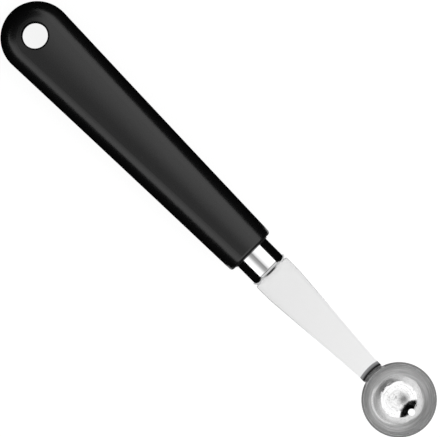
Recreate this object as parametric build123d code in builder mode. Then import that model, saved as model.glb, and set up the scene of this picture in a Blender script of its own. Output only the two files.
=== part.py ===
import os
from math import asin, cos, degrees, radians, sin, sqrt

from build123d import *

# Melon baller in millimetres. The origin is on the axis of the hanging hole, halfway through the handle.
# +X runs along the tool towards the bowl, +Y is across it, and the bowl opens towards +Z.

os.makedirs("parts", exist_ok=True)

# Handle
heel_radius = 11.42  # plan radius of the rounded heel, which is half the handle's greatest width
heel_setback = 0.9  # from the hanging hole's axis forward to the centre of the heel
heel_thickness = 13.8
grip_length = 93.6  # from the centre of the heel to the collar's face
grip_waist = 0.08  # how far each side of the grip is drawn in halfway along
collar_side_step = 1.85  # collar standing out beside the ferrule
collar_top_step = 0.85  # collar standing out above and below the ferrule
collar_edge_radius = 1.1
collar_mouth_bevel = 0.25  # where the ferrule leaves the collar
hanging_hole_radius = 4.0
hanging_hole_edge_radius = 0.5
heel_crown_share = 3.4  # radius of the crowned top at the heel, as a share of the half width there
collar_crown_share = 1.8  # the same at the collar
corner_share = 0.92  # corner radius, as a share of the radius that would leave no upright side
station_shares = [0, 0.5, 1]  # sections along the grip

# Ferrule
ferrule_radius = 6.55
ferrule_wall = 0.6
ferrule_lip_radius = 1.3  # outside radius round its closed front end
ferrule_visible_length = 8.8
ferrule_seat_depth = 6.0  # length of ferrule held in the collar
slot_clearance = 0.12  # round the tang, where it passes through the ferrule's front

# Shank: tang, shoulder, tapered blade and bent neck in one piece of sheet
shank_thickness = 1.5
tang_width = 9.0
tang_length = 62.0  # from the shoulder back into the handle
tang_end_radius = 2.5
tang_hole_radius = 2.2
tang_hole_shares = [0.4, 0.8]  # places of the two locking holes along the tang
shoulder_width = 13.0
shoulder_length = 5.7  # from the ferrule to where the taper starts
shoulder_corner_radius = 0.5
shoulder_blend_radius = 60.0  # between the shoulder's side and the taper
blade_length = 42.0  # from the shoulder to the start of the bend
blade_edge_radius = 0.25  # along the sides, on over the bend and down the seat
neck_width = 7.5
neck_blend_radius = 20.0  # between the taper and the neck's side
bend_radius = 1.25  # inside radius of the bend
seat_angle = 15.1  # degrees below the bowl's edge where the bend meets the bowl
seat_length = 3.2  # length of neck lying on the bowl below the bend

# Bowl
bowl_inner_radius = 11.0
bowl_wall = 0.7
edge_land = 0.1  # flat left on top of the ground edge
edge_bevel_height = 0.75
vent_radius = 1.1
vent_offset = 5.7  # from the bowl's axis forward to the vent hole

# Weld bead under the end of the neck
weld_leg = 1.0
weld_inset = 0.4  # from each side of the neck in to the end of the bead
weld_bulge_share = 0.62  # height of the bead halfway along its slope, as a share of its leg

overrun = 1.0  # by which cutting shapes run past what they cut

# Places along the tool
collar_face = heel_setback + grip_length
ferrule_rear = collar_face - ferrule_seat_depth
ferrule_front = collar_face + ferrule_visible_length
bend_start = ferrule_front + blade_length

# In the side view the outside of the bend touches the outside of the bowl, at the seat angle. That gives the
# place of the bowl's axis and the height of its edge.
bowl_outer_radius = bowl_inner_radius + bowl_wall
bend_outer_radius = bend_radius + shank_thickness
centre_distance = bend_outer_radius + bowl_outer_radius
bend_distance = centre_distance * cos(radians(seat_angle))
bend_centre_height = shank_thickness / 2 - bend_outer_radius
edge_height = bend_centre_height + centre_distance * sin(radians(seat_angle))
bowl_centre = bend_start + bend_distance
bowl_axis = Axis((bowl_centre, 0, 0), (0, 0, 1))
seat_end_angle = seat_angle + degrees(seat_length / bowl_outer_radius)
forming_depth = bowl_outer_radius + shank_thickness

# Side views of the bowl and of what touches it are drawn from its axis outwards, then turned about it.
side_plane = Plane(origin=(bowl_centre, 0, 0), x_dir=(1, 0, 0), z_dir=(0, -1, 0))


class GripSection(BaseSketchObject):
    """Section of the handle: crowned top and bottom, short upright sides and rounded corners."""

    def __init__(self, half_width: float, half_thickness: float, crown_radius: float, mode: Mode = Mode.ADD):
        side_height = half_thickness - crown_radius + sqrt(crown_radius**2 - half_width**2)
        full_round = 2 * crown_radius * half_thickness - half_width**2 - half_thickness**2
        corner_radius = corner_share * full_round / (2 * (crown_radius - half_width))
        with BuildSketch() as section:
            with BuildLine():
                left, right = -half_width, half_width
                top = ThreePointArc((left, side_height), (0, half_thickness), (right, side_height))
                base = ThreePointArc((left, -side_height), (0, -half_thickness), (right, -side_height))
                Line(top @ 0, base @ 0)
                Line(top @ 1, base @ 1)
            make_face()
            fillet(section.vertices(), corner_radius)
        super().__init__(obj=section.sketch, mode=mode)


def grip_sizes(share: float) -> tuple[float, float, float]:
    """Half width, half thickness and crown radius at a share of the way from the heel to the collar."""
    collar_half_width = ferrule_radius + collar_side_step
    collar_half_thickness = ferrule_radius + collar_top_step
    waist = 4 * grip_waist * share * (1 - share)
    half_width = heel_radius + (collar_half_width - heel_radius) * share - waist
    half_thickness = heel_thickness / 2 + (collar_half_thickness - heel_thickness / 2) * share
    crown_share = heel_crown_share + (collar_crown_share - heel_crown_share) * share
    return half_width, half_thickness, crown_share * half_width


# Shank: the plan outline is cut right through, then kept only where it lies in the side profile turned round
# the bowl's axis, so that the bend and the seat run concentric with the bowl.
with BuildPart() as shank:
    with BuildSketch() as plan:
        with BuildLine():
            Polyline(
                (ferrule_front - tang_length, 0),
                (ferrule_front - tang_length, tang_width / 2),
                (ferrule_front, tang_width / 2),
                (ferrule_front, shoulder_width / 2),
                (ferrule_front + shoulder_length, shoulder_width / 2),
                (bend_start, neck_width / 2),
                (bowl_centre, neck_width / 2),
                (bowl_centre, 0),
            )
            mirror(about=Plane.XZ)
        make_face()
        fillet(plan.vertices().group_by(Axis.X)[0], tang_end_radius)
        fillet(plan.vertices().sort_by_distance((bend_start, 0))[:2], neck_blend_radius)
        for side in (0, -1):
            fillet(plan.vertices().group_by(Axis.Y)[side].sort_by(Axis.X)[-1], shoulder_blend_radius)
            fillet(plan.vertices().group_by(Axis.Y)[side].sort_by(Axis.X)[0], shoulder_corner_radius)
        with Locations(*[(ferrule_front - share * tang_length, 0) for share in tang_hole_shares]):
            Circle(tang_hole_radius, mode=Mode.SUBTRACT)
    extrude(amount=forming_depth, both=True)
    with BuildSketch(side_plane):
        with BuildLine():
            Polyline(
                (bend_distance, -shank_thickness / 2),
                (bend_distance + blade_length + tang_length + overrun, -shank_thickness / 2),
                (bend_distance + blade_length + tang_length + overrun, shank_thickness / 2),
                (bend_distance, shank_thickness / 2),
            )
            bend_centre = (bend_distance, bend_centre_height)
            CenterArc(bend_centre, bend_outer_radius, 90, 90 - seat_angle)
            CenterArc(bend_centre, bend_radius, 90, 90 - seat_angle)
            bowl_middle = (0, edge_height)
            seat = CenterArc(bowl_middle, bowl_outer_radius, -seat_angle, seat_angle - seat_end_angle)
            back = CenterArc(bowl_middle, forming_depth, -seat_angle, seat_angle - seat_end_angle)
            Line(seat @ 1, back @ 1)
        make_face()
    revolve(axis=bowl_axis, mode=Mode.INTERSECT)
    taper_start = ferrule_front + shoulder_length
    taper_edges = shank.edges().filter_by(GeomType.LINE).filter_by(Axis.Z, reverse=True)
    fillet(taper_edges.filter_by_position(Axis.X, taper_start, bend_start), blade_edge_radius)
shank.part.label = "shank"
export_step(shank.part, "parts/shank.step")

# Ferrule: a drawn cap, open at the rear, with a slot in its front for the tang.
with BuildPart() as ferrule:
    with BuildSketch(Plane.YZ.offset(ferrule_rear)):
        Circle(ferrule_radius)
    extrude(amount=ferrule_seat_depth + ferrule_visible_length)
    fillet(ferrule.edges().group_by(Axis.X)[-1], ferrule_lip_radius)
    offset(amount=-ferrule_wall, openings=ferrule.faces().sort_by(Axis.X)[0])
    with BuildSketch(Plane.YZ.offset(ferrule_front)):
        Rectangle(tang_width + 2 * slot_clearance, shank_thickness + 2 * slot_clearance)
    extrude(amount=-ferrule_wall - overrun, mode=Mode.SUBTRACT)
ferrule.part.label = "ferrule"
export_step(ferrule.part, "parts/ferrule.step")

# Handle: half of the heel's section turned into a round heel, and a loft from it to the collar. The ferrule
# sits in the collar's recess, the spigot fills it, and the tang leaves its own shape inside.
heel_axis = Axis((heel_setback, 0, 0), (0, 0, 1))
with BuildPart() as handle:
    with BuildSketch(Plane.YZ.offset(heel_setback)):
        GripSection(*grip_sizes(0))
        split(bisect_by=Plane.YZ)
    revolve(axis=heel_axis, revolution_arc=180)
    for share in station_shares:
        with BuildSketch(Plane.YZ.offset(heel_setback + share * grip_length)):
            GripSection(*grip_sizes(share))
    loft()
    fillet(handle.faces().sort_by(Axis.X)[-1].edges(), collar_edge_radius)
    Hole(hanging_hole_radius)
    fillet(handle.edges(Select.LAST).filter_by(GeomType.LINE, reverse=True), hanging_hole_edge_radius)
    with BuildSketch(Plane.YZ.offset(collar_face)):
        Circle(ferrule_radius)
    extrude(amount=-ferrule_seat_depth, mode=Mode.SUBTRACT)
    chamfer(handle.edges(Select.LAST).group_by(Axis.X)[-1], collar_mouth_bevel)
    with BuildSketch(Plane.YZ.offset(ferrule_rear)):
        Circle(ferrule_radius - ferrule_wall)
    extrude(amount=ferrule_seat_depth + ferrule_visible_length - ferrule_wall)
    fillet(handle.edges().group_by(Axis.X)[-1], ferrule_lip_radius - ferrule_wall)
    add(shank.part, mode=Mode.SUBTRACT)
handle.part.label = "handle"
export_step(handle.part, "parts/handle.step")

# Bowl: a half sphere of sheet with its edge ground from outside, and a vent hole through the bottom.
with BuildPart() as bowl:
    with BuildSketch(side_plane):
        with BuildLine():
            bevel_angle = degrees(asin(edge_bevel_height / bowl_outer_radius))
            inside = CenterArc(bowl_middle, bowl_inner_radius, 0, -90)
            outside = CenterArc(bowl_middle, bowl_outer_radius, -90, 90 - bevel_angle)
            Line(inside @ 1, outside @ 0)
            Polyline(outside @ 1, (bowl_inner_radius + edge_land, edge_height), inside @ 0)
        make_face()
    revolve(axis=bowl_axis)
    with Locations((bowl_centre + vent_offset, 0, 0)):
        Hole(vent_radius)
bowl.part.label = "bowl"
export_step(bowl.part, "parts/bowl.step")

# Weld bead: it fills the corner between the end of the neck and the bowl.
bead_angle = degrees(weld_leg / bowl_outer_radius)
with BuildPart() as neck_weld:
    with BuildSketch(side_plane):
        with BuildLine():
            root = CenterArc(bowl_middle, bowl_outer_radius, -seat_end_angle, -bead_angle)
            toe = PolarLine(root @ 0, weld_leg, -seat_end_angle)
            crest_height = bowl_outer_radius + weld_bulge_share * weld_leg
            crest = PolarLine(bowl_middle, crest_height, -seat_end_angle - bead_angle / 2, mode=Mode.PRIVATE)
            ThreePointArc(toe @ 1, crest @ 1, root @ 1)
        make_face()
    revolve(axis=bowl_axis)
    with BuildSketch():
        with Locations((bowl_centre, 0)):
            Rectangle(forming_depth, neck_width - 2 * weld_inset, align=(Align.MAX, Align.CENTER))
    extrude(amount=forming_depth, both=True, mode=Mode.INTERSECT)
neck_weld.part.label = "neck_weld"
export_step(neck_weld.part, "parts/neck_weld.step")

overall_length = bowl_centre + bowl_outer_radius + heel_radius - heel_setback
print(f"overall length {overall_length:.2f} mm, bowl's edge {edge_height:.2f} mm above the shank's middle")
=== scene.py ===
"""Melon baller with a black moulded handle, seen from straight above in a plain white studio."""

import logging
import math
from abc import ABC, abstractmethod
from collections.abc import Callable
from dataclasses import dataclass, field
from enum import Enum
from typing import Any

import bpy
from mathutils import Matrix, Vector


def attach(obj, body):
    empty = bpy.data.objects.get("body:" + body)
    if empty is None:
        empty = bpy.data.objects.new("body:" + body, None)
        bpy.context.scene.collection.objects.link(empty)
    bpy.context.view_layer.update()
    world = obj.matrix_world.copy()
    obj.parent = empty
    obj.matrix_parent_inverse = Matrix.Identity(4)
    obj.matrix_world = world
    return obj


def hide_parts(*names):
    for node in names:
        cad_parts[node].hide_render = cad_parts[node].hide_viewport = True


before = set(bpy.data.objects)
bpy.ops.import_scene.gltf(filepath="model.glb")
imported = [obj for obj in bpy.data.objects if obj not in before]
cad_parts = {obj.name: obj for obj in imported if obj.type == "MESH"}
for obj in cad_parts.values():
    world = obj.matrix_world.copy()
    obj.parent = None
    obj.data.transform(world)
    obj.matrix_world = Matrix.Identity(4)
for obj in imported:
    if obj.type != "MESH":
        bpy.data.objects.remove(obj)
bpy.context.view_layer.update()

log = logging.getLogger("melon_baller")

Pair = tuple[float, float]
Triple = tuple[float, float, float]

MM = 0.001
NEXT_TO_NOTHING = 0.000001
BODY = "root"
WHITE = (1.0, 1.0, 1.0, 1.0)


def box_of(node: str) -> tuple[Vector, Vector]:
    """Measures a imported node.

    Args:
        node: The node's name.

    Returns:
        The least and the greatest corner of its box, in metres.
    """
    points = [vertex.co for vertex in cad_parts[node].data.vertices]
    low = Vector([min(point[axis] for point in points) for axis in range(3)])
    high = Vector([max(point[axis] for point in points) for axis in range(3)])
    return low, high


# Places along the tool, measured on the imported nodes.
FERRULE_LOW, FERRULE_HIGH = box_of("ferrule")
BOWL_LOW, BOWL_HIGH = box_of("bowl")
WELD_LOW, WELD_HIGH = box_of("neck_weld")
SHANK_TOP = box_of("shank")[1].z
FERRULE_FRONT = FERRULE_HIGH.x
BOWL_X = (BOWL_LOW.x + BOWL_HIGH.x) / 2.0
BOWL_EDGE = BOWL_HIGH.z
BOWL_HALF = min(BOWL_HIGH.x - BOWL_LOW.x, BOWL_HIGH.y - BOWL_LOW.y) / 2.0

# Sizes that more than one piece or finish needs, and the places that follow from them.
FERRULE_SHOWN = 8.8 * MM
BLADE_LENGTH = 42.0 * MM
LIP_RADIUS = 1.3 * MM
GROOVE_SETBACK = 1.22 * MM
COLLAR_FACE = FERRULE_FRONT - FERRULE_SHOWN
BEND_START = FERRULE_FRONT + BLADE_LENGTH


@dataclass(frozen=True)
class Wire:
    """An output socket of a node, with Python's operators for numbers."""

    graph: "Graph"
    socket: bpy.types.NodeSocket

    def math(self, operation: str, *terms: Any) -> "Wire":
        """Adds a Math node.

        Args:
            operation: The node's operation, such as "ADD".
            terms: Its inputs, each a number or a wire.

        Returns:
            The node's result.
        """
        return self.graph.node("ShaderNodeMath", {"operation": operation}, dict(enumerate(terms)))

    def __add__(self, other: Any) -> "Wire":
        """Sum."""
        return self.math("ADD", self, other)

    def __radd__(self, other: Any) -> "Wire":
        """Sum with a number on the left."""
        return self.math("ADD", other, self)

    def __sub__(self, other: Any) -> "Wire":
        """Difference."""
        return self.math("SUBTRACT", self, other)

    def __rsub__(self, other: Any) -> "Wire":
        """Difference with a number on the left."""
        return self.math("SUBTRACT", other, self)

    def __mul__(self, other: Any) -> "Wire":
        """Product."""
        return self.math("MULTIPLY", self, other)

    def __rmul__(self, other: Any) -> "Wire":
        """Product with a number on the left."""
        return self.math("MULTIPLY", other, self)

    def __truediv__(self, other: Any) -> "Wire":
        """Quotient."""
        return self.math("DIVIDE", self, other)

    def __rtruediv__(self, other: Any) -> "Wire":
        """Quotient with a number on the left."""
        return self.math("DIVIDE", other, self)

    def __pow__(self, other: Any) -> "Wire":
        """Power."""
        return self.math("POWER", self, other)

    def __neg__(self) -> "Wire":
        """Negative."""
        return self.math("MULTIPLY", self, -1.0)

    def __abs__(self) -> "Wire":
        """Size without sign."""
        return self.math("ABSOLUTE", self)

    def sqrt(self) -> "Wire":
        """Square root."""
        return self.math("SQRT", self)

    def sin(self) -> "Wire":
        """Sine of an angle in radians."""
        return self.math("SINE", self)

    def cos(self) -> "Wire":
        """Cosine of an angle in radians."""
        return self.math("COSINE", self)

    def most(self, other: Any) -> "Wire":
        """The larger of two numbers."""
        return self.math("MAXIMUM", self, other)

    def least(self, other: Any) -> "Wire":
        """The smaller of two numbers."""
        return self.math("MINIMUM", self, other)

    def held(self) -> "Wire":
        """The number, held between 0 and 1."""
        return self.most(0.0).least(1.0)

    def away(self, other: "Wire") -> "Wire":
        """Distance of a point that lies this far one way and the other number across it."""
        return (self * self + other * other).sqrt()

    def bell(self, centre: Any, width: Any) -> "Wire":
        """A smooth hump.

        Args:
            centre: Where the hump is 1.
            width: How far from there it has fallen to 0.37.

        Returns:
            The hump's height, from 0 to 1.
        """
        offset = (self - centre) / width
        return self.graph.node("ShaderNodeMath", {"operation": "EXPONENT"}, {0: -(offset * offset)})

    def step(self, low: float, high: float) -> "Wire":
        """A smooth step.

        Args:
            low: Where the step is 0.
            high: Where the step is 1. It may be less than low.

        Returns:
            The step's height, from 0 to 1.
        """
        settings = {"interpolation_type": "SMOOTHSTEP"}
        if low < high:
            return self.graph.node("ShaderNodeMapRange", settings, {0: self, 1: low, 2: high})
        return 1.0 - self.graph.node("ShaderNodeMapRange", settings, {0: self, 1: high, 2: low})

    def out(self, name: str) -> "Wire":
        """Another output of the same node, by name."""
        return Wire(self.graph, self.socket.node.outputs[name])


class Graph:
    """A node tree that is being built, of a material, a lamp, the world or a mesh."""

    def __init__(self, tree: bpy.types.NodeTree) -> None:
        """Starts with an empty tree."""
        self.tree = tree
        tree.nodes.clear()

    def node(
        self,
        kind: str,
        settings: dict[str, Any] | None = None,
        inputs: dict[str | int, Any] | None = None,
        output: str | int = 0,
    ) -> Wire:
        """Adds a node.

        Args:
            kind: The node's type.
            settings: Its properties, which are set first.
            inputs: Values or wires for its sockets, by name or number.
            output: The output that is wanted.

        Returns:
            That output. A node without outputs gives its first input instead.
        """
        made = self.tree.nodes.new(kind)
        for name, value in (settings or {}).items():
            setattr(made, name, value)
        for key, value in (inputs or {}).items():
            if isinstance(value, Wire):
                self.tree.links.new(value.socket, made.inputs[key])
            else:
                made.inputs[key].default_value = value
        return Wire(self, made.outputs[output] if made.outputs else made.inputs[0])

    def vector(self, x: Any, y: Any, z: Any) -> Wire:
        """A vector from three numbers or wires."""
        return self.node("ShaderNodeCombineXYZ", inputs={0: x, 1: y, 2: z})

    def parts(self, vector: Wire) -> tuple[Wire, Wire, Wire]:
        """A vector's X, Y and Z."""
        split = self.node("ShaderNodeSeparateXYZ", inputs={0: vector})
        return split, split.out("Y"), split.out("Z")

    def place_mm(self, centre: Triple = (0.0, 0.0, 0.0)) -> tuple[Wire, Wire, Wire]:
        """Place on the piece.

        Args:
            centre: A point in metres to count from.

        Returns:
            X, Y and Z from that point, in millimetres.
        """
        scale = 1.0 / MM
        inputs = {
            "Vector": self.node("ShaderNodeTexCoord", output="Object"),
            "Location": tuple(-scale * part for part in centre),
            "Scale": (scale, scale, scale),
        }
        return self.parts(self.node("ShaderNodeMapping", {"vector_type": "POINT"}, inputs))

    def noise(self, vector: Wire, detail: float = 2.0, roughness: float = 0.5, scale: float = 1.0) -> Wire:
        """Smooth noise.

        Args:
            vector: Where to read it.
            detail: How many finer layers it has.
            roughness: How strong the finer layers are.
            scale: How many of its waves go into one unit of the vector.

        Returns:
            The noise, about 0.5 on average.
        """
        inputs = {"Vector": vector, "Scale": scale, "Detail": detail, "Roughness": roughness}
        return self.node("ShaderNodeTexNoise", inputs=inputs)

    def bump(self, height: Wire, depth: float, before: Wire | None = None) -> Wire:
        """Normals bent by a height.

        Args:
            height: The height, from 0 to 1.
            depth: What a height of 1 measures, in metres.
            before: Normals that are already bent.

        Returns:
            The bent normals.
        """
        inputs: dict[str | int, Any] = {"Height": height, "Distance": depth, "Strength": 1.0}
        if before is not None:
            inputs["Normal"] = before
        return self.node("ShaderNodeBump", inputs=inputs)

    def blend(self, share: Wire, first: Any, second: Any) -> Wire:
        """A colour between two colours.

        Args:
            share: How much of the second colour there is.
            first: Red, green and blue where the share is 0, or a wire.
            second: Red, green and blue where it is 1, or a wire.

        Returns:
            The mixed colour.
        """
        first, second = (end if isinstance(end, Wire) else (*end, 1.0) for end in (first, second))
        return self.node("ShaderNodeMix", {"data_type": "RGBA"}, {0: share, 6: first, 7: second}, output=2)

    def dulled(self, share: Wire, shader: Wire, colour: Triple) -> Wire:
        """A shader that is matt in places, where its matt colour is painted shade.

        Args:
            share: How much of the matt colour there is.
            shader: The shader where the share is 0.
            colour: Red, green and blue of the matt places.

        Returns:
            The mixed shader.
        """
        matt = self.node("ShaderNodeBsdfDiffuse", inputs={"Color": (*colour, 1.0)})
        return self.node("ShaderNodeMixShader", inputs={0: share, 1: shader, 2: matt})


class Finish(ABC):
    """The look of one piece's surface."""

    name: str

    @abstractmethod
    def paint(self, graph: Graph) -> Wire:
        """Builds the shader.

        Args:
            graph: The material's tree.

        Returns:
            The shader's output.
        """

    def material(self) -> bpy.types.Material:
        """Makes the finish's material.

        Returns:
            The material.
        """
        made = bpy.data.materials.new(self.name)
        made.use_nodes = True
        graph = Graph(made.node_tree)
        graph.node("ShaderNodeOutputMaterial", inputs={"Surface": self.paint(graph)})
        return made


@dataclass(frozen=True)
class MouldedPlastic(Finish):
    """Black plastic out of a spark-eroded mould, with its parting line, the polish of use and painted shade
    at the edges of its hanging hole and collar.
    """

    name: str = "moulded_plastic"
    black: Triple = (0.0032, 0.0032, 0.0034)
    worn: Triple = (0.008, 0.008, 0.0084)
    satin: float = 0.27
    gloss_index: float = 1.56
    collar_face: float = COLLAR_FACE / MM
    collar_edge_shade: Pair = (0.7, 0.35)
    hole_radius: float = 4.0
    hole_edge_shade: Pair = (0.6, 0.35)
    edge_shade_share: float = 0.9
    grip_reach: float = 34.0
    parting_half: float = 0.07
    parting_sides: Pair = (4.0, 6.0)
    parting_heel: Pair = (-5.0, -7.0)
    grain_depth: float = 0.003 * MM
    parting_depth: float = 0.03 * MM

    def paint(self, graph: Graph) -> Wire:
        """Builds the shader.

        Args:
            graph: The material's tree.

        Returns:
            The shader's output.
        """
        x, y, z = graph.place_mm()
        flow = graph.noise(graph.vector(x * 0.05, y * 0.16, z * 0.16), detail=3.0)
        grain = graph.noise(graph.vector(x, y, z), scale=4.2, roughness=0.6)
        speck = graph.noise(graph.vector(x, y, z), scale=1.1, detail=1.0).step(0.68, 0.74)
        scuffs = graph.noise(graph.vector(x * 0.5, y * 3.0 + x * 0.4, z * 3.0), detail=3.0).step(0.64, 0.76)
        patches = graph.noise(graph.vector(x * 0.1, y * 0.2, z * 0.2))
        grip = x.bell(self.collar_face / 2.0, self.grip_reach) * patches
        hole = x.away(y)
        side_start, side_end = self.parting_sides
        sides = (y * y).step(side_start**2, side_end**2).most(x.step(*self.parting_heel))
        clear = hole.step(self.hole_radius - 0.2, self.hole_radius + 0.6)
        parting = z.bell(0.0, self.parting_half) * sides * clear
        wear = (scuffs * 0.3 + speck * 0.15).held()
        roughness = self.satin + (flow - 0.5) * 0.06 + speck * 0.05 + scuffs * 0.05 - grip * 0.03
        line = graph.bump(parting, self.parting_depth)
        inputs = {
            "Base Color": graph.blend(wear, self.black, self.worn),
            "Roughness": roughness,
            "Normal": graph.bump(grain + flow * 0.6, self.grain_depth, line),
            "IOR": self.gloss_index,
        }
        glossy = graph.node("ShaderNodeBsdfPrincipled", inputs=inputs)
        # Painted shade: the edges of the hanging hole and of the collar are made matt black, without sheen.
        hole_edge_shade = hole.step(*(self.hole_radius + gap for gap in self.hole_edge_shade))
        collar_edge_shade = x.step(*(self.collar_face - gap for gap in self.collar_edge_shade))
        return graph.dulled(hole_edge_shade.most(collar_edge_shade) * self.edge_shade_share, glossy, self.black)


@dataclass(frozen=True)
class PolishedCap(Finish):
    """Bright drawn steel with hair-fine lines round it, with painted shade in its turned groove and at its
    joints.
    """

    name: str = "polished_cap"
    steel: Triple = (0.9, 0.9, 0.905)
    dulled: Triple = (0.6, 0.6, 0.61)
    tumbled: Triple = (0.5, 0.5, 0.505)
    shadowed: Triple = (0.03, 0.03, 0.03)
    gloss: float = 0.07
    rear: float = COLLAR_FACE / MM
    front: float = FERRULE_FRONT / MM
    groove_setback: float = GROOVE_SETBACK / MM
    groove_width: float = 0.17
    groove_shade_share: float = 0.8
    joint_reach: Pair = (0.51, 0.36)
    joint_sides: Pair = (3.0, 1.2)
    joint_height: Pair = (-0.2, 0.1)
    rear_reach: Pair = (0.4, 0.2)
    rear_share: float = 0.9
    face_radius: float = (FERRULE_HIGH.y - LIP_RADIUS) / MM
    line_depth: float = 0.0006 * MM

    def paint(self, graph: Graph) -> Wire:
        """Builds the shader.

        Args:
            graph: The material's tree.

        Returns:
            The shader's output.
        """
        x, y, z = graph.place_mm()
        lines = graph.noise(graph.vector(x * 9.0, y * 0.25, z * 0.25), detail=3.0, roughness=0.7)
        smears = graph.noise(graph.vector(x * 0.4, y * 0.3, z * 0.3), detail=3.0)
        slanted = graph.vector(x * 1.2 + y * 0.8, y * 5.0 - x * 2.0, z * 5.0)
        hairs = graph.noise(slanted).step(0.66, 0.72)
        groove_place = self.front - self.groove_setback
        # Painted shade in the turned groove.
        groove_shade = x.bell(groove_place, self.groove_width) * self.groove_shade_share
        # Painted shade at the front joint with the blade and at the rear joint with the collar, laid on as
        # matt near-black.
        above_face = abs(z).step(*(self.face_radius + gap for gap in self.joint_height))
        front_joint_shade = x.step(*(self.front - gap for gap in self.joint_reach))
        front_joint_shade = front_joint_shade * abs(y).step(*self.joint_sides) * above_face
        rear_joint_shade = x.step(*(self.rear + gap for gap in self.rear_reach)) * self.rear_share
        joint_shade = front_joint_shade.most(rear_joint_shade)
        lip = x.step(groove_place, groove_place + 0.3)
        rim = x.bell(self.rear, 0.3)
        roughness = self.gloss + (smears - 0.5) * 0.05 + hairs * 0.06 + rim * 0.08 + lip * 0.1
        worn = graph.blend((rim * 0.7 + hairs * 0.1 + (smears - 0.5) * 0.2).held(), self.steel, self.dulled)
        worn = graph.blend(lip, worn, self.tumbled)
        inputs = {
            "Base Color": graph.blend(groove_shade, worn, self.shadowed),
            "Metallic": 1.0,
            "Roughness": roughness,
            "Normal": graph.bump(lines, self.line_depth),
        }
        return graph.dulled(joint_shade, graph.node("ShaderNodeBsdfPrincipled", inputs=inputs), self.shadowed)


@dataclass(frozen=True)
class BrushedSheet(Finish):
    """Satin stainless sheet, brushed along its length, with painted shade towards its edges, at the ferrule,
    over the bent neck and in the crevice by the bowl.
    """

    name: str = "brushed_sheet"
    steel: Triple = (0.96, 0.96, 0.96)
    tone_and_edge_shade: Triple = (0.82, 0.82, 0.825)
    bend_shade_grey: Triple = (0.23, 0.23, 0.235)
    shade_black: Triple = (0.025, 0.025, 0.025)
    satin: float = 0.43
    shoulder: float = FERRULE_FRONT / MM
    bend: float = BEND_START / MM
    top: float = SHANK_TOP / MM
    shoulder_half_width: float = 6.5
    neck_half_width: float = 3.75
    edge_start: float = 0.76
    joint_reach: Pair = (0.35, 0.15)
    joint_sides: Pair = (3.0, 0.8)
    joint_share: float = 0.7
    bowl_x: float = BOWL_X / MM
    bend_edge: Pair = (-0.08, 0.32)
    crevice: float = 1.42
    crevice_width: float = 0.45
    crevice_drop: Pair = (1.7, 1.1)
    crevice_end: Pair = (0.15, 0.5)
    brush_depth: float = 0.0018 * MM

    def paint(self, graph: Graph) -> Wire:
        """Builds the shader.

        Args:
            graph: The material's tree.

        Returns:
            The shader's output.
        """
        x, y, z = graph.place_mm()
        brush = graph.noise(graph.vector(x * 0.35, y * 14.0, z * 14.0), detail=4.0, roughness=0.65)
        bands = graph.noise(graph.vector(x * 0.06, y * 1.3, z * 1.3))
        clouds = graph.noise(graph.vector(x * 0.22, y * 0.3, z * 0.3), detail=3.0)
        slanted = graph.vector(x * 0.9 + y * 0.5, y * 4.0 - x * 0.7, z * 4.0)
        nicks = graph.noise(slanted).step(0.69, 0.74)
        along = ((x - self.shoulder) / (self.bend - self.shoulder)).held()
        half = self.shoulder_half_width + (self.neck_half_width - self.shoulder_half_width) * along
        edge = (abs(y) / half).step(self.edge_start, 1.0)
        roughness = self.satin + (clouds - 0.5) * 0.08 + (bands - 0.5) * 0.08 + nicks * 0.06 - edge * 0.04
        # Random tone from clouds and brushing, with painted shade towards the long edges.
        tone = (edge * 0.25 + (clouds - 0.5) * 0.35 + (brush - 0.5) * 0.3).held()
        # The neck's painted shade runs in bands round the bowl's axis, as its bend does: grey over the bend,
        # near black in the crevice by the bowl, then plain steel.
        reach = self.bowl_x - (x - self.bowl_x).away(y)
        bend_shade = (reach + (clouds - 0.5) * 0.2).step(*(self.bend + gap for gap in self.bend_edge))
        # Painted shade in the crevice between the neck and the bowl.
        crevice = self.bend + self.crevice
        sunk = z.step(*(self.top - gap for gap in self.crevice_drop))
        crevice_shade = reach.bell(crevice, self.crevice_width) * sunk
        caught = reach.step(*(crevice + gap for gap in self.crevice_end))
        # Painted shade across the blade where it meets the ferrule.
        joint_shade = x.step(*(self.shoulder + gap for gap in self.joint_reach))
        joint_shade = joint_shade * abs(y).step(*self.joint_sides) * self.joint_share
        brushed = graph.blend(joint_shade, graph.blend(tone, self.steel, self.tone_and_edge_shade), self.shade_black)
        neck = graph.blend(crevice_shade, graph.blend(caught, self.bend_shade_grey, self.steel), self.shade_black)
        inputs = {
            "Base Color": graph.blend(bend_shade, brushed, neck),
            "Metallic": 1.0,
            "Roughness": roughness,
            "Normal": graph.bump(brush, self.brush_depth),
        }
        return graph.node("ShaderNodeBsdfPrincipled", inputs=inputs)


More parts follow.
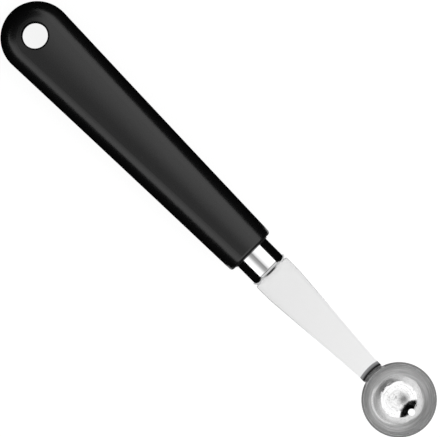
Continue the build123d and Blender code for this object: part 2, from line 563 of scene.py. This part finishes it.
@dataclass(frozen=True)
class SpunBowlSteel(Finish):
    """Stainless sheet, polished in the hollow, brushed in rings towards the edge and ground on the edge,
    with painted shade in the satin and on the edge, and painted highlights in a ring on one side and on the
    edge by the neck.
    """

    name: str = "spun_bowl_steel"
    centre: Triple = (BOWL_X, 0.0, BOWL_EDGE)
    inner_radius: float = 11.0
    polished: float = 0.1
    brushed: float = 0.36
    bright: Triple = (0.92, 0.92, 0.92)
    grey: Triple = (0.36, 0.36, 0.36)
    ground: Triple = (0.18, 0.18, 0.18)
    neck_side_light: Triple = (0.74, 0.74, 0.74)
    satin_edge: Pair = (7.3, 7.8)
    rim_edge: Pair = (0.02, 0.12)
    rim_height: Pair = (-1.1, -0.8)
    neck_side_reach: Pair = (0.92, 0.98)
    arcs_edge: Pair = (5.7, 5.1)
    middle_edge: Pair = (3.6, 2.6)
    mouth_edge: Pair = (9.4, 10.0)
    swirl_place: Pair = (-1.9, -0.8)
    swirl_radius: float = 0.95
    swirl_width: float = 0.2
    glint_place: Pair = (-0.4, -0.7)
    glint_side: Pair = (-0.34, -0.94)
    glint_radius: float = 7.5
    glint_width: float = 0.25
    ring_depth: float = 0.003 * MM
    ridges_edge: Pair = (1.8, 4.0)
    ridge_depth: float = 0.07 * MM
    dent_depth: float = 0.05 * MM

    def paint(self, graph: Graph) -> Wire:
        """Builds the shader.

        Args:
            graph: The material's tree.

        Returns:
            The shader's output.
        """
        x, y, z = graph.place_mm(self.centre)
        plan = x.away(y)
        inside = (x * x + y * y + z * z).sqrt().step(self.inner_radius + 0.3, self.inner_radius + 0.1)
        wander = graph.noise(graph.vector(x * 0.35, y * 0.35, z * 0.35), detail=3.0)
        round_x = x / plan.most(0.01)
        round_y = y / plan.most(0.01)
        depth = z + (wander - 0.5) * 0.25
        spun = graph.vector(round_x * 1.2, round_y * 1.2, depth * 5.0)
        rings = graph.noise(spun, detail=4.0, roughness=0.7)
        broad = graph.noise(graph.vector(round_x, round_y, depth * 1.6))
        outwards = plan + (wander - 0.5) * 0.9 + (broad - 0.5) * 0.5
        satin = (outwards.step(*self.satin_edge) * inside + (1.0 - inside)).held()
        marks = graph.noise(graph.vector(x, y, z), scale=1.5, detail=3.0, roughness=0.7).step(0.54, 0.68)
        dents = graph.noise(graph.vector(x, y, z), scale=0.32, detail=2.5, roughness=0.55)
        # The polishing wheel left a small swirl near the middle. The bright ring on one side is a painted
        # highlight, also polished smoother.
        swirl = (x - self.swirl_place[0]).away(y - self.swirl_place[1])
        swirl = swirl.bell(self.swirl_radius, self.swirl_width) * marks.most(0.3)
        facing = round_x * self.glint_side[0] + round_y * self.glint_side[1]
        painted_glint = (x - self.glint_place[0]).away(y - self.glint_place[1])
        painted_glint = painted_glint.bell(self.glint_radius, self.glint_width) * facing.step(0.4, 0.75) * inside
        roughness = self.polished + satin * (self.brushed - self.polished)
        roughness = roughness + (rings - 0.5) * satin * 0.16 + marks * 0.08 - painted_glint * satin * 0.14
        # Grey rings in the satin, painted darker than bare steel as painted shade that is darkest towards
        # the toe, then fainter arcs and marks in the polish.
        toe = round_x.most(0.0) ** 2.0
        tone = satin * (0.48 + toe * 0.2 + (broad - 0.5) * 1.2 + (rings - 0.5) * 1.1)
        arcs = graph.noise(graph.vector(round_x * 0.8, round_y * 0.8, plan * 1.7), detail=3.0).step(0.4, 0.7)
        tone = tone + plan.step(*self.arcs_edge) * (0.1 + arcs * 0.3)
        tone = tone + plan.step(*self.middle_edge) * 0.12 - plan.step(*self.mouth_edge) * 0.1
        tone = tone + marks * (1.0 - satin * 0.8) * 0.35 + swirl * 0.6 + (rings - 0.5) * 0.2
        tone = tone * (1.0 - painted_glint)
        sheet = graph.blend(tone.held(), self.bright, self.grey)
        # Painted shade on the ground edge, lightened as a painted highlight on the side towards the neck.
        rim = plan.step(*(self.inner_radius + gap for gap in self.rim_edge)) * z.step(*self.rim_height)
        edge = graph.blend((-round_x).step(*self.neck_side_reach), self.ground, self.neck_side_light)
        ridges = graph.noise(graph.vector(round_x * 1.6, round_y * 1.6, depth * 1.2), detail=2.0)
        ridged = graph.bump(ridges * plan.step(*self.ridges_edge) * inside, self.ridge_depth)
        dented = graph.bump(dents, self.dent_depth, ridged)
        inputs = {
            "Base Color": graph.blend(rim, sheet, edge),
            "Metallic": 1.0,
            "Roughness": roughness,
            "Normal": graph.bump(rings * satin, self.ring_depth, dented),
        }
        return graph.node("ShaderNodeBsdfPrincipled", inputs=inputs)


@dataclass(frozen=True)
class WeldSteel(Finish):
    """Brushed-off weld, a little straw-coloured by the heat."""

    name: str = "weld_steel"
    steel: Triple = (0.66, 0.66, 0.66)
    tinted: Triple = (0.6, 0.53, 0.42)
    satin: float = 0.38
    pit_depth: float = 0.01 * MM

    def paint(self, graph: Graph) -> Wire:
        """Builds the shader.

        Args:
            graph: The material's tree.

        Returns:
            The shader's output.
        """
        x, y, z = graph.place_mm()
        pits = graph.noise(graph.vector(x, y, z), scale=6.0, detail=3.0, roughness=0.7)
        heat = graph.noise(graph.vector(x * 0.8, y * 0.8, z * 0.8)).step(0.4, 0.65)
        inputs = {
            "Base Color": graph.blend(heat * 0.6, self.steel, self.tinted),
            "Metallic": 1.0,
            "Roughness": self.satin + (pits - 0.5) * 0.2,
            "Normal": graph.bump(pits, self.pit_depth),
        }
        return graph.node("ShaderNodeBsdfPrincipled", inputs=inputs)


@dataclass(frozen=True)
class PaleFloor(Finish):
    """White table that shows as white and keeps a faint shadow of the tool."""

    name: str = "pale_floor"
    paper: float = 0.25
    glow: float = 0.88

    def paint(self, graph: Graph) -> Wire:
        """Builds the shader.

        Args:
            graph: The material's tree.

        Returns:
            The shader's output.
        """
        ray = graph.node("ShaderNodeLightPath", output="Is Camera Ray")
        seen = (ray + ray.out("Is Glossy Ray") + ray.out("Is Transmission Ray")).least(1.0)
        inputs = {"Color": (self.paper, self.paper, self.paper, 1.0)}
        lit = graph.node("ShaderNodeBsdfDiffuse", inputs=inputs)
        own = graph.node("ShaderNodeEmission", inputs={"Color": WHITE, "Strength": seen * self.glow})
        return graph.node("ShaderNodeAddShader", inputs={0: lit, 1: own})


@dataclass(frozen=True)
class BlackCard(Finish):
    """Black card that stands round the handle and draws the dark lines along it and its ferrule."""

    name: str = "black_card"
    black: float = 0.004

    def paint(self, graph: Graph) -> Wire:
        """Builds the shader.

        Args:
            graph: The material's tree.

        Returns:
            The shader's output.
        """
        inputs = {"Color": (self.black, self.black, self.black, 1.0)}
        return graph.node("ShaderNodeBsdfDiffuse", inputs=inputs)


class Shading(Enum):
    """How a made mesh's faces meet."""

    ROUND = math.radians(180.0)
    CREASED = math.radians(28.0)


def dress(node: str, finish: Finish) -> None:
    """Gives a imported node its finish.

    Args:
        node: The node's name.
        finish: The finish.
    """
    made = finish.material()
    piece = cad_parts[node]
    for slot in piece.material_slots:
        slot.material = made
    log.info("%s: %s, %d faces", node, finish.name, len(piece.data.polygons))


def add_mesh(name: str, points: list[Triple], faces: list[tuple[int, ...]]) -> bpy.types.Object:
    """Makes a mesh object at the origin.

    Args:
        name: The object's name.
        points: Its points, in metres.
        faces: Its faces, as numbers of points.

    Returns:
        The object, linked to the scene.
    """
    mesh = bpy.data.meshes.new(name)
    mesh.from_pydata(points, [], faces)
    made = bpy.data.objects.new(name, mesh)
    bpy.context.scene.collection.objects.link(made)
    return made


@dataclass
class GrownMesh:
    """A mesh that a geometry node tree makes from a few named sizes."""

    name: str
    sizes: dict[str, float]
    counts: dict[str, int] = field(default_factory=dict)
    profile: list[Triple] = field(default_factory=lambda: [(0.0, 0.0, 0.0)])
    shading: Shading = Shading.CREASED

    def build_tree(
        self, tree_of: Callable[[Graph, dict[str, Wire]], Wire], values: dict[str, Any]
    ) -> bpy.types.NodeTree:
        """Builds the node tree.

        Args:
            tree_of: A function that adds the piece's own nodes. It takes the graph and the tree's inputs by
                name, and returns the geometry.
            values: The tree's inputs by name, with their values.

        Returns:
            The tree, which ends in Realize Instances and Set Material.
        """
        tree = bpy.data.node_groups.new(self.name, "GeometryNodeTree")
        graph = Graph(tree)
        tree.interface.new_socket("Geometry", in_out="INPUT", socket_type="NodeSocketGeometry")
        tree.interface.new_socket("Geometry", in_out="OUTPUT", socket_type="NodeSocketGeometry")
        kinds = {float: "NodeSocketFloat", int: "NodeSocketInt"}
        for label, value in values.items():
            kind = kinds.get(type(value), "NodeSocketMaterial")
            tree.interface.new_socket(label, in_out="INPUT", socket_type=kind)
        start = graph.node("NodeGroupInput")
        given = {label: start.out(label) for label in ["Geometry", *values]}
        real = graph.node("GeometryNodeRealizeInstances", inputs={0: tree_of(graph, given)})
        inputs = {"Geometry": real, "Material": given["Material"]}
        dressed = graph.node("GeometryNodeSetMaterial", inputs=inputs)
        graph.node("NodeGroupOutput", inputs={0: dressed})
        return tree

    def grow(
        self, tree_of: Callable[[Graph, dict[str, Wire]], Wire], material: bpy.types.Material
    ) -> bpy.types.Object:
        """Runs the tree and keeps its result as a plain mesh.

        Args:
            tree_of: A function that adds the piece's own nodes.
            material: The material of the result.

        Returns:
            The object, at the origin, without its modifier.
        """
        values: dict[str, Any] = {**self.sizes, **self.counts, "Material": material}
        source = add_mesh(f"{self.name}.source", self.profile, [])
        modifier = source.modifiers.new(self.name, "NODES")
        modifier.node_group = self.build_tree(tree_of, values)
        for item in modifier.node_group.interface.items_tree:
            if item.in_out == "INPUT" and item.name in values:
                modifier[item.identifier] = values[item.name]
        evaluated = source.evaluated_get(bpy.context.evaluated_depsgraph_get())
        mesh = bpy.data.meshes.new_from_object(evaluated)
        source.modifiers.remove(modifier)
        bpy.data.objects.remove(source)
        mesh.name = self.name
        mesh.shade_smooth()
        mesh.set_sharp_from_angle(angle=self.shading.value)
        made = bpy.data.objects.new(self.name, mesh)
        bpy.context.scene.collection.objects.link(made)
        log.info("%s: grown with %d faces", self.name, len(mesh.polygons))
        return made


def unroll(graph: Graph, given: dict[str, Wire]) -> tuple[Wire, Wire, Wire, Wire, Wire]:
    """Lays out a grid with a row for each point of a section and its columns once round an axis.

    Args:
        graph: The tree being built.
        given: Its inputs, with the section's points as its geometry.

    Returns:
        The grid, the three numbers of each row's point and each column's angle in radians.
    """
    inputs = {"Size X": 1.0, "Size Y": 1.0, "Vertices X": given["Rings"], "Vertices Y": given["Segments"]}
    grid = graph.node("GeometryNodeMeshGrid", inputs=inputs)
    across, around, _ = graph.parts(graph.node("GeometryNodeInputPosition"))
    number = (across + 0.5) * (given["Rings"] - 1.0)
    number = number.math("ROUND", number)
    settings = {"data_type": "FLOAT_VECTOR", "domain": "POINT"}
    inputs = {0: given["Geometry"], 1: graph.node("GeometryNodeInputPosition"), 2: number}
    section = graph.node("GeometryNodeSampleIndex", settings, inputs)
    return grid, *graph.parts(section), (around + 0.5) * math.tau


def close_up(graph: Graph, grid: Wire, place: Wire) -> Wire:
    """Moves a grid's points into place and joins those that meet.

    Args:
        graph: The tree being built.
        grid: The grid.
        place: Where its points go.

    Returns:
        The closed surface.
    """
    surface = graph.node("GeometryNodeSetPosition", inputs={"Geometry": grid, "Position": place})
    inputs = {"Geometry": surface, "Distance": 0.0002 * MM}
    return graph.node("GeometryNodeMergeByDistance", inputs=inputs)


@dataclass
class Handle:
    """The moulded grip with its hanging hole."""

    finish: Finish = MouldedPlastic()

    def build(self) -> None:
        """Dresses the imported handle."""
        dress("handle", self.finish)


@dataclass
class Ferrule:
    """The polished cap on the collar, spun from its section, with a groove and a slot for the tang."""

    rear: float = FERRULE_LOW.x
    front: float = FERRULE_FRONT
    radius: float = FERRULE_HIGH.y
    wall: float = 0.6 * MM
    lip_radius: float = LIP_RADIUS
    groove_setback: float = GROOVE_SETBACK
    groove_width: float = 0.1 * MM
    groove_depth: float = 0.05 * MM
    slot_half_width: float = 4.62 * MM
    slot_half_height: float = 0.87 * MM
    straight_step: float = 0.03 * MM
    straight_steps: int = 10
    outer_steps: int = 30
    inner_steps: int = 10
    segments: int = 270
    finish: Finish = PolishedCap()

    def lip(self, radius: float, steps: int) -> list[Triple]:
        """The quarter round of the section at the front end.

        Args:
            radius: Its radius, outside or inside the sheet.
            steps: How many pieces it has.

        Returns:
            Its points, as distance from the axis, nothing, and place along the tool.
        """
        turns = [math.pi / 2.0 * step / steps for step in range(steps + 1)]
        core = self.radius - self.lip_radius
        start = self.front - self.lip_radius
        return [(core + radius * math.cos(turn), 0.0, start + radius * math.sin(turn)) for turn in turns]

    def section(self) -> list[Triple]:
        """Draws the closed section of the cap.

        Returns:
            Its points, from the rear edge along the outside, through the slot and back along the inside.
            The second number is 1 where the point lies on the slot's outline.
        """
        start = self.front - self.lip_radius
        back = range(self.straight_steps, 0, -1)
        straight = [(self.radius, 0.0, start - self.straight_step * step) for step in back]
        outside = [(self.radius, 0.0, self.rear), *straight, *self.lip(self.lip_radius, self.outer_steps)]
        grooved = []
        for out, slotted, along in outside:
            offset = (along - self.front + self.groove_setback) / self.groove_width
            grooved.append((out - self.groove_depth * math.exp(-offset * offset), slotted, along))
        inside = self.lip(self.lip_radius - self.wall, self.inner_steps)[::-1]
        slot = [(0.0, 1.0, self.front), (0.0, 1.0, self.front - self.wall)]
        return [*grooved, *slot, *inside, (self.radius - self.wall, 0.0, self.rear), grooved[0]]

    def tree(self, graph: Graph, given: dict[str, Wire]) -> Wire:
        """Spins the section round the tool's long axis, and squares it where it meets the slot.

        Args:
            graph: The tree being built.
            given: Its inputs.

        Returns:
            The cap's geometry.
        """
        grid, out, slotted, along, turn = unroll(graph, given)
        side = turn.cos()
        up = -turn.sin()
        across = given["Slot Half Width"] / abs(side).most(NEXT_TO_NOTHING)
        above = given["Slot Half Height"] / abs(up).most(NEXT_TO_NOTHING)
        reach = out * (1.0 - slotted) + across.least(above) * slotted
        return close_up(graph, grid, graph.vector(along, reach * side, reach * up))

    def build(self) -> None:
        """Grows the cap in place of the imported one."""
        section = self.section()
        sizes = {"Slot Half Width": self.slot_half_width, "Slot Half Height": self.slot_half_height}
        counts = {"Rings": len(section), "Segments": self.segments + 1}
        grown = GrownMesh("ferrule_cap", sizes, counts, section).grow(self.tree, self.finish.material())
        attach(grown, BODY)
        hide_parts("ferrule")


@dataclass
class Shank:
    """The flat tapered blade with its bent neck."""

    finish: Finish = BrushedSheet()

    def build(self) -> None:
        """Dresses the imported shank."""
        dress("shank", self.finish)


@dataclass
class Bowl:
    """The half-round cup, spun from its section, with its edge ground from outside and a vent hole."""

    centre_x: float = BOWL_X
    edge_height: float = BOWL_EDGE
    wall: float = 0.7 * MM
    edge_land: float = 0.1 * MM
    bevel_height: float = 0.75 * MM
    rounding: float = 0.04 * MM
    vent_radius: float = 1.1 * MM
    vent_offset: float = 5.7 * MM
    arc_steps: int = 56
    segments: int = 160
    finish: Finish = SpunBowlSteel()

    @property
    def outer_radius(self) -> float:
        """Radius of the outside, which is cut off by the bevel just above its widest place."""
        return math.hypot(BOWL_HALF, self.bevel_height)

    @property
    def inner_radius(self) -> float:
        """Radius of the inside."""
        return self.outer_radius - self.wall

    def arc(self, radius: float, start: float, end: float) -> list[Triple]:
        """Part of the sheet's section.

        Args:
            radius: The arc's radius about the bowl's middle.
            start: Its first angle up from straight down, in radians.
            end: Its last angle.

        Returns:
            Its points, as distance from the bowl's axis, nothing, and height.
        """
        turns = [start + (end - start) * step / self.arc_steps for step in range(self.arc_steps + 1)]
        return [(radius * math.sin(turn), 0.0, -radius * math.cos(turn)) for turn in turns]

    def section(self) -> list[Triple]:
        """Draws the closed section of the sheet.

        Returns:
            Its points, from the vent up the inside, over the edge and down the outside.
        """
        bevel_turn = math.acos(self.bevel_height / self.outer_radius)
        inner_vent = math.asin(self.vent_radius / self.inner_radius)
        outer_vent = math.asin(self.vent_radius / self.outer_radius)
        inside = self.arc(self.inner_radius, inner_vent, math.pi / 2.0)
        outside = self.arc(self.outer_radius, bevel_turn, outer_vent)
        tip = self.inner_radius
        top = [
            (tip + self.rounding, 0.0, 0.0),
            (tip + self.edge_land, 0.0, 0.0),
            (tip + self.edge_land + self.rounding * 0.5, 0.0, -self.rounding),
        ]
        inside[-1] = (tip, 0.0, -self.rounding)
        return [*inside, *top, *outside, inside[0]]

    def tree(self, graph: Graph, given: dict[str, Wire]) -> Wire:
        """Spins the section round the axis and slides its lower end over, so that it ends at the vent.

        Args:
            graph: The tree being built.
            given: Its inputs.

        Returns:
            The bowl's geometry.
        """
        grid, out, _, height, turn = unroll(graph, given)
        reach = out.away(height)
        hollow = given["Inner Radius"] * given["Inner Radius"]
        slope = (1.0 - (out * out) / hollow).most(0.0)
        start = 1.0 - (given["Vent Radius"] * given["Vent Radius"]) / hollow
        shift = given["Vent Offset"] * (slope / start) ** 1.5
        x = out * turn.cos() + shift
        y = out * turn.sin()
        lowered = -(reach * reach - x * x - y * y).most(0.0).sqrt()
        moved = shift.math("GREATER_THAN", shift, 0.0001 * MM)
        z = lowered * moved + height * (1.0 - moved)
        return close_up(graph, grid, graph.vector(x + given["Centre X"], y, z + given["Edge Height"]))

    def build(self) -> None:
        """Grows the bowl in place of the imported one."""
        section = self.section()
        sizes = {
            "Inner Radius": self.inner_radius,
            "Vent Radius": self.vent_radius,
            "Vent Offset": self.vent_offset,
            "Centre X": self.centre_x,
            "Edge Height": self.edge_height,
        }
        counts = {"Rings": len(section), "Segments": self.segments + 1}
        grown = GrownMesh("bowl_sheet", sizes, counts, section).grow(self.tree, self.finish.material())
        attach(grown, BODY)
        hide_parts("bowl")


@dataclass
class NeckWeld:
    """The rippled bead that joins the end of the neck to the outside of the bowl."""

    bowl_x: float = BOWL_X
    bowl_z: float = BOWL_EDGE
    outer_radius: float = 11.7 * MM
    end_height: float = WELD_LOW.z
    half_width: float = WELD_HIGH.y
    setback: float = 0.54 * MM
    lift: float = 0.22 * MM
    bead_radius: float = 0.46 * MM
    end_squareness: float = 14.0
    ripples: int = 11
    ripple_share: float = 0.16
    steps: int = 132
    sides: int = 20
    finish: Finish = WeldSteel()

    @property
    def drop(self) -> float:
        """Angle of the bead below the bowl's edge."""
        end = math.asin((self.bowl_z - self.end_height) / self.outer_radius)
        return end - self.setback / self.outer_radius

    @property
    def half_sweep(self) -> float:
        """Half the angle that the bead runs round the bowl."""
        far = (self.outer_radius + self.lift) * math.cos(self.drop)
        return math.asin((self.half_width - 0.7 * self.bead_radius) / far)

    def tree(self, graph: Graph, given: dict[str, Wire]) -> Wire:
        """Runs a round bead along the end of the neck, thicker at each ripple and closed at both ends.

        Args:
            graph: The tree being built.
            given: Its inputs.

        Returns:
            The bead's geometry.
        """
        inputs = {"Start": (0.0, 0.0, 0.0), "End": (1.0, 0.0, 0.0)}
        line = graph.node("GeometryNodeCurvePrimitiveLine", inputs=inputs)
        line = graph.node("GeometryNodeResampleCurve", inputs={"Curve": line, "Count": given["Steps"]})
        along = graph.node("GeometryNodeSplineParameter", output="Factor")
        turn = (along * 2.0 - 1.0) * given["Half Sweep"]
        far = given["Radius"] * given["Drop"].cos()
        x = given["Bowl X"] - far * turn.cos()
        y = far * turn.sin()
        z = given["Bowl Z"] - given["Radius"] * given["Drop"].sin()
        inputs = {"Geometry": line, "Position": graph.vector(x, y, z)}
        path = graph.node("GeometryNodeSetPosition", inputs=inputs)
        wave = (along * given["Ripples"]).math("FRACT", along * given["Ripples"])
        ripple = 1.0 - given["Ripple Share"] * wave * wave
        ends = (1.0 - abs(along * 2.0 - 1.0) ** self.end_squareness).most(0.02).sqrt()
        inputs = {"Resolution": given["Sides"], "Radius": given["Bead"]}
        ring = graph.node("GeometryNodeCurvePrimitiveCircle", inputs=inputs)
        inputs = {"Curve": path, "Profile Curve": ring, "Scale": ripple * ends, "Fill Caps": True}
        return graph.node("GeometryNodeCurveToMesh", inputs=inputs)

    def build(self) -> None:
        """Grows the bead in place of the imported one."""
        sizes = {
            "Bowl X": self.bowl_x,
            "Bowl Z": self.bowl_z,
            "Radius": self.outer_radius + self.lift,
            "Drop": self.drop,
            "Half Sweep": self.half_sweep,
            "Bead": self.bead_radius,
            "Ripple Share": self.ripple_share,
        }
        counts = {"Ripples": self.ripples, "Steps": self.steps, "Sides": self.sides}
        mesh = GrownMesh("weld_bead", sizes, counts, shading=Shading.ROUND)
        grown = mesh.grow(self.tree, self.finish.material())
        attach(grown, BODY)
        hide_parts("neck_weld")


@dataclass
class Studio:
    """White table, one large overhead scrim, black cards by the handle and a long lens overhead."""

    middle: Pair = (80.4 * MM, 0.48 * MM)
    picture_width: float = 440.0
    pixel: float = 0.3095 * MM
    camera_height: float = 3.0
    camera_turn: float = math.radians(45.0)
    clip: Pair = (0.01, 20.0)
    floor_height: float = BOWL_LOW.z - 0.02 * MM
    floor_half: float = 4.0
    scrim_height: float = 0.55
    scrim_ends: Pair = (-1.05, 1.15)
    scrim_sides: Pair = (-1.18, 1.18)
    scrim_level: float = 1.24
    end_setback: float = 0.49
    end_curve: float = 0.57
    end_blur: Pair = (0.08, -0.04)
    hood_place: Pair = (-0.22, -0.26)
    hood_size: Pair = (0.38, 0.36)
    hood_share: float = 0.76
    lens_place: Pair = (-0.1, -0.1)
    lens_radius: float = 0.075
    lens_share: float = 0.5
    fill_level: float = 0.03
    horizon: float = math.cos(math.radians(64.0))
    horizon_blur: float = 0.01
    horizon_level: float = 0.7
    card_foot: float = 18.0 * MM
    card_reach: float = 45.0 * MM
    card_tops: Pair = (25.4 * MM, 28.2 * MM)
    card_end: float = 125.0 * MM
    cloth_end: float = COLLAR_FACE - 2.0 * MM

    def build_floor(self) -> None:
        """Lays the table under the tool."""
        half, low = self.floor_half, self.floor_height
        corners = [(-half, -half, low), (half, -half, low), (half, half, low), (-half, half, low)]
        floor = add_mesh("floor", corners, [(0, 1, 2, 3)])
        floor.data.materials.append(PaleFloor().material())

    def build_cards(self) -> None:
        """Stands black cards round the handle on a black cloth under it, all seen only in reflections."""
        ground = self.floor_height + 0.01 * MM
        foot, reach = self.card_foot, self.card_reach
        right, left = self.card_tops
        points = [
            (self.card_end, -foot, ground),
            (-foot, -foot, ground),
            (-foot, foot, ground),
            (self.card_end, foot, ground),
            (self.card_end, -reach, right),
            (-reach, -reach, right),
            (-reach, reach, left),
            (self.card_end, reach, left),
            (self.cloth_end, -foot, ground),
            (self.cloth_end, foot, ground),
        ]
        cards = add_mesh("cards", points, [(0, 8, 1, 5, 4), (1, 2, 6, 5), (2, 9, 3, 7, 6), (8, 9, 2, 1)])
        cards.data.materials.append(BlackCard().material())
        cards.visible_camera = False
        cards.visible_shadow = False
        cards.visible_diffuse = False

    def build_scrim(self) -> None:
        """Hangs the overhead light, dimmed where the camera's hood is and cut round towards the heel."""
        light = bpy.data.lights.new("scrim", "AREA")
        light.shape = "RECTANGLE"
        light.size = self.scrim_ends[1] - self.scrim_ends[0]
        light.size_y = self.scrim_sides[1] - self.scrim_sides[0]
        light.energy = self.scrim_level * math.pi * light.size * light.size_y
        light.use_nodes = True
        graph = Graph(light.node_tree)
        x, y, _ = graph.parts(graph.node("ShaderNodeNewGeometry", output="Position"))
        x = (x - BOWL_X) / self.scrim_height
        y = y / self.scrim_height
        lit = (-x - self.end_setback - y * y * self.end_curve).step(*self.end_blur)
        hood = x.bell(self.hood_place[0], self.hood_size[0]) * y.bell(self.hood_place[1], self.hood_size[1])
        lens = (x - self.lens_place[0]).away(y - self.lens_place[1]).bell(0.0, self.lens_radius)
        level = lit * (1.0 - hood * self.hood_share) * (1.0 - lens * self.lens_share)
        own = graph.node("ShaderNodeEmission", inputs={"Color": WHITE, "Strength": level})
        graph.node("ShaderNodeOutputLight", inputs={0: own})
        lamp = bpy.data.objects.new("scrim", light)
        lamp.location = (sum(self.scrim_ends) / 2.0, sum(self.scrim_sides) / 2.0, self.scrim_height)
        lamp.visible_camera = False
        bpy.context.scene.collection.objects.link(lamp)

    def build_world(self) -> None:
        """Makes the backdrop white to the eye and pale in reflections, under a dark ceiling."""
        world = bpy.data.worlds.new("studio")
        world.use_nodes = True
        graph = Graph(world.node_tree)
        ray = graph.node("ShaderNodeLightPath", output="Is Camera Ray")
        mirrored = (ray.out("Is Glossy Ray") + ray.out("Is Transmission Ray")).least(1.0)
        _, _, up = graph.parts(graph.node("ShaderNodeTexCoord", output="Generated"))
        low = up.step(self.horizon + self.horizon_blur, self.horizon - self.horizon_blur)
        seen = ray + mirrored * low * self.horizon_level
        level = (seen + (1.0 - mirrored) * self.fill_level).least(1.0)
        own = graph.node("ShaderNodeBackground", inputs={"Color": WHITE, "Strength": level})
        graph.node("ShaderNodeOutputWorld", inputs={"Surface": own})
        bpy.context.scene.world = world

    def build_camera(self) -> None:
        """Hangs the camera straight above, turned so that the tool runs from upper left to lower right."""
        lens = bpy.data.cameras.new("camera")
        lens.sensor_width = 36.0
        lens.lens = lens.sensor_width * self.camera_height / (self.picture_width * self.pixel)
        lens.clip_start, lens.clip_end = self.clip
        camera = bpy.data.objects.new("camera", lens)
        camera.location = (*self.middle, self.camera_height)
        camera.rotation_euler = (0.0, 0.0, self.camera_turn)
        bpy.context.scene.collection.objects.link(camera)
        bpy.context.scene.camera = camera

    def build(self) -> None:
        """Sets up everything round the tool."""
        self.build_floor()
        self.build_cards()
        self.build_scrim()
        self.build_world()
        self.build_camera()
        bpy.context.scene.view_settings.view_transform = "Standard"


def main() -> None:
    """Builds the tool and its studio."""
    logging.basicConfig(level=logging.INFO, format="%(name)s %(message)s")
    for part in (Handle(), Ferrule(), Shank(), Bowl(), NeckWeld()):
        part.build()
    Studio().build()


if __name__ == "__main__":
    main()
